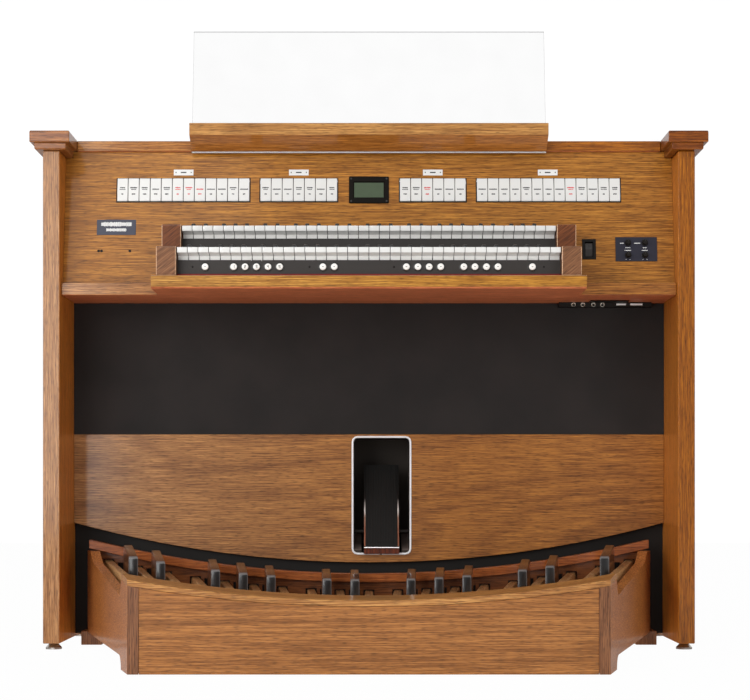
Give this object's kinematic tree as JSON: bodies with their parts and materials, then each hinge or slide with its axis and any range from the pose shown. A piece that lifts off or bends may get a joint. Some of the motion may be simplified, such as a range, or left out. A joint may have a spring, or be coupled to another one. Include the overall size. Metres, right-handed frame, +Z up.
{
  "type": "electronic organ",
  "caption": "Wooden organ console with stepped manuals, a leaning panel of rocker tabs, a clear music desk, an expression shoe and a separate concave, radiating pedalboard.",
  "frame": {"origin": "middle of the bounding box of the console and its pedalboard, on the floor", "axes": "+Z up, +X to the player's right, +Y away from the player, who sits on the -Y side"},
  "size_m": [1.532, 1.019, 1.4362],
  "materials": {
    "oak": "satin lacquered oak",
    "dark_oak": "dark stained, satin",
    "ash": "pale lacquered wood",
    "key_white": "gloss white",
    "black": "satin black",
    "charcoal": "matt charcoal paint",
    "steel": "brushed",
    "chrome": "polished",
    "cloth": "black grille cloth over a board",
    "fibreboard": "plain fibreboard",
    "acrylic": "clear"
  },
  "bodies": {
    "console": {"left_side_panel": "oak", "right_side_panel": "oak", "left_cap": "oak", "right_cap": "oak", "top_panel": "oak", "stop_panel": "oak", "shelf_board": "oak", "key_desk": "oak", "speaker_grille": "cloth", "knee_panel": "oak", "toe_panel": "black", "back_panel": "fibreboard", "shoe_housing": "black", "shoe_trim": "chrome", "shoe_pin": "steel", "lower_keyboard": "key_white", "upper_keyboard": "key_white", "left_lower_cheek": "dark_oak", "right_lower_cheek": "dark_oak", "left_upper_cheek": "dark_oak", "right_upper_cheek": "dark_oak", "piston_rail": "charcoal", "upper_key_slip": "charcoal", "tab_rail": "key_white", "display_unit": "black", "switch_bezel": "black", "control_plate": "charcoal", "connector_panel": "black", "music_pane": "acrylic", "music_ledge": "oak", "left_speaker": "charcoal", "right_speaker": "charcoal", "sound_module": "steel"},
    "front_left_leveller": {"front_left_foot": "steel"},
    "front_right_leveller": {"front_right_foot": "steel"},
    "rear_left_leveller": {"rear_left_foot": "steel"},
    "rear_right_leveller": {"rear_right_foot": "steel"},
    "expression_shoe": {"swell_shoe": "dark_oak", "shoe_tread": "black"},
    "rocker": {"power_rocker": "black"},
    "knob_1": {"control_knob_1": "black"},
    "knob_2": {"control_knob_2": "black"},
    "knob_3": {"control_knob_3": "black"},
    "knob_4": {"control_knob_4": "black"},
    "lower_c": {"lower_key_c": "key_white"},
    "lower_c_sharp": {"lower_key_c_sharp": "black"},
    "upper_c": {"upper_key_c": "key_white"},
    "upper_c_sharp": {"upper_key_c_sharp": "black"},
    "piston": {"thumb_piston_1": "key_white"},
    "tab_1": {"stop_tab_1": "key_white"},
    "tab_2": {"stop_tab_2": "key_white"},
    "pedalboard": {"pedal_bank": "ash", "pedalboard_left_cheek": "oak", "pedalboard_right_cheek": "oak", "pedalboard_front": "oak", "pedalboard_cover": "oak", "pedalboard_rear_rail": "dark_oak", "pedal_guide_board": "dark_oak"},
    "pedal_natural": {"natural_pedal": "ash"},
    "pedal_sharp": {"sharp_pedal": "ash"}
  },
  "joints": [
    {"name": "front_left_leveller_turn", "type": "hinge", "parent": "console", "child": "front_left_leveller", "pos_m": [-0.721, 0.0845, 0], "axis": [0, 0, 1], "range_deg": [-180, 180]},
    {"name": "front_right_leveller_turn", "type": "hinge", "parent": "console", "child": "front_right_leveller", "pos_m": [0.721, 0.0845, 0], "axis": [0, 0, 1], "range_deg": [-180, 180]},
    {"name": "rear_left_leveller_turn", "type": "hinge", "parent": "console", "child": "rear_left_leveller", "pos_m": [-0.721, 0.4745, 0], "axis": [0, 0, 1], "range_deg": [-180, 180]},
    {"name": "rear_right_leveller_turn", "type": "hinge", "parent": "console", "child": "rear_right_leveller", "pos_m": [0.721, 0.4745, 0], "axis": [0, 0, 1], "range_deg": [-180, 180]},
    {"name": "expression_shoe_tilt", "type": "hinge", "parent": "console", "child": "expression_shoe", "pos_m": [0.03, 0.2745, 0.265], "axis": [-1, 0, 0], "range_deg": [0, 16]},
    {"name": "power_rocker_tilt", "type": "hinge", "parent": "console", "child": "rocker", "pos_m": [0.5064, 0.11664, 0.91571], "axis": [1, 0, 0], "range_deg": [-8, 8]},
    {"name": "control_knob_1_turn", "type": "hinge", "parent": "console", "child": "knob_1", "pos_m": [0.59535, 0.10662, 0.93174], "axis": [0, -0.9888, 0.1492], "range_deg": [-140, 140]},
    {"name": "control_knob_2_turn", "type": "hinge", "parent": "console", "child": "knob_2", "pos_m": [0.63425, 0.10662, 0.93174], "axis": [0, -0.9888, 0.1492], "range_deg": [-140, 140]},
    {"name": "control_knob_3_turn", "type": "hinge", "parent": "console", "child": "knob_3", "pos_m": [0.59535, 0.10224, 0.90274], "axis": [0, -0.9888, 0.1492], "range_deg": [-140, 140]},
    {"name": "control_knob_4_turn", "type": "hinge", "parent": "console", "child": "knob_4", "pos_m": [0.63425, 0.10224, 0.90274], "axis": [0, -0.9888, 0.1492], "range_deg": [-140, 140]},
    {"name": "lower_c_press", "type": "hinge", "parent": "console", "child": "lower_c", "pos_m": [-0.08155, 0.0785, 0.87995], "axis": [1, 0, 0], "range_deg": [0, 2.7], "stiffness_Nm_per_rad": 1, "springref_deg": -14.32},
    {"name": "lower_c_sharp_press", "type": "hinge", "parent": "console", "child": "lower_c_sharp", "pos_m": [-0.0721, 0.0785, 0.87995], "axis": [1, 0, 0], "range_deg": [0, 2.7], "stiffness_Nm_per_rad": 1, "springref_deg": -14.32},
    {"name": "upper_c_press", "type": "hinge", "parent": "console", "child": "upper_c", "pos_m": [-0.08155, 0.1865, 0.94255], "axis": [1, 0, 0], "range_deg": [0, 2.7], "stiffness_Nm_per_rad": 1, "springref_deg": -14.32},
    {"name": "upper_c_sharp_press", "type": "hinge", "parent": "console", "child": "upper_c_sharp", "pos_m": [-0.0721, 0.1865, 0.94255], "axis": [1, 0, 0], "range_deg": [0, 2.7], "stiffness_Nm_per_rad": 1, "springref_deg": -14.32},
    {"name": "thumb_piston_press", "type": "slide", "parent": "console", "child": "piston", "axis": [0, 1, 0], "range_m": [0, 0.0025], "stiffness_N_per_m": 300, "springref_m": -0.002},
    {"name": "stop_tab_1_rock", "type": "hinge", "parent": "console", "child": "tab_1", "pos_m": [-0.41596, 0.13577, 1.05591], "axis": [1, 0, 0], "range_deg": [-3, 3], "stiffness_Nm_per_rad": 0.3},
    {"name": "stop_tab_2_rock", "type": "hinge", "parent": "console", "child": "tab_2", "pos_m": [0.36388, 0.13577, 1.05591], "axis": [1, 0, 0], "range_deg": [-3, 3], "stiffness_Nm_per_rad": 0.3},
    {"name": "pedalboard_pull", "type": "slide", "parent": "console", "child": "pedalboard", "axis": [0, -1, 0], "range_m": [0, 0.45]},
    {"name": "natural_pedal_press", "type": "hinge", "parent": "pedalboard", "child": "pedal_natural", "pos_m": [0, -0.4255, 0.091], "axis": [-1, 0, 0], "range_deg": [0, 1.2], "stiffness_Nm_per_rad": 20, "springref_deg": -14.32},
    {"name": "sharp_pedal_press", "type": "hinge", "parent": "pedalboard", "child": "pedal_sharp", "pos_m": [-0.02554, -0.4255, 0.09112], "axis": [-0.9999, -0.0135, 0], "range_deg": [0, 1.2], "stiffness_Nm_per_rad": 20, "springref_deg": -14.32}
  ]
}
